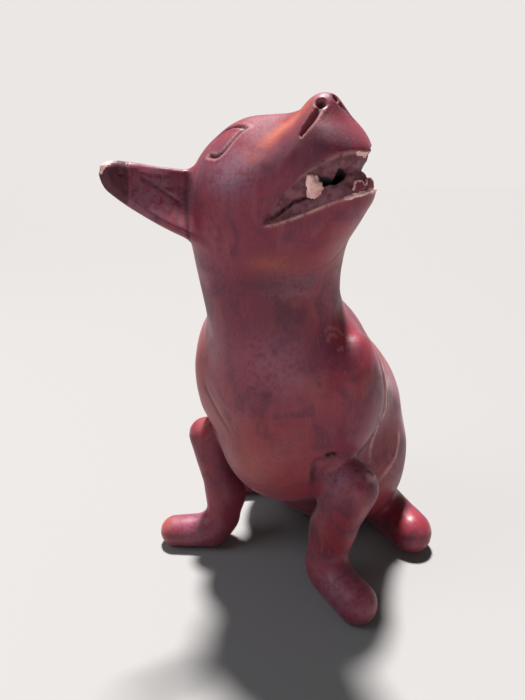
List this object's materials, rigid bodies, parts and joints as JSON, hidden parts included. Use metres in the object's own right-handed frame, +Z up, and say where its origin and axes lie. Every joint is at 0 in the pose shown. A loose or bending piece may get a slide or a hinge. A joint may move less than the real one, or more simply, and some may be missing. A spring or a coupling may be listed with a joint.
{
  "type": "seated dog figure",
  "caption": "Seated dog figure in burnished red terracotta: head turned and lifted, mouth open, ears spread, splayed paws and a seat flat on the floor.",
  "frame": {"origin": "middle of the flat seat, on the surface that the figure sits on", "axes": "+Z up, +X towards the dog's left, -Y the way its chest faces"},
  "size_m": [0.1826, 0.197, 0.3],
  "materials": {
    "burnished_clay": "burnished red-brown earthenware slip with darker maroon mottling and orange patches, satin sheen"
  },
  "bodies": {
    "root": {"dog": "burnished_clay"}
  },
  "joints": []
}
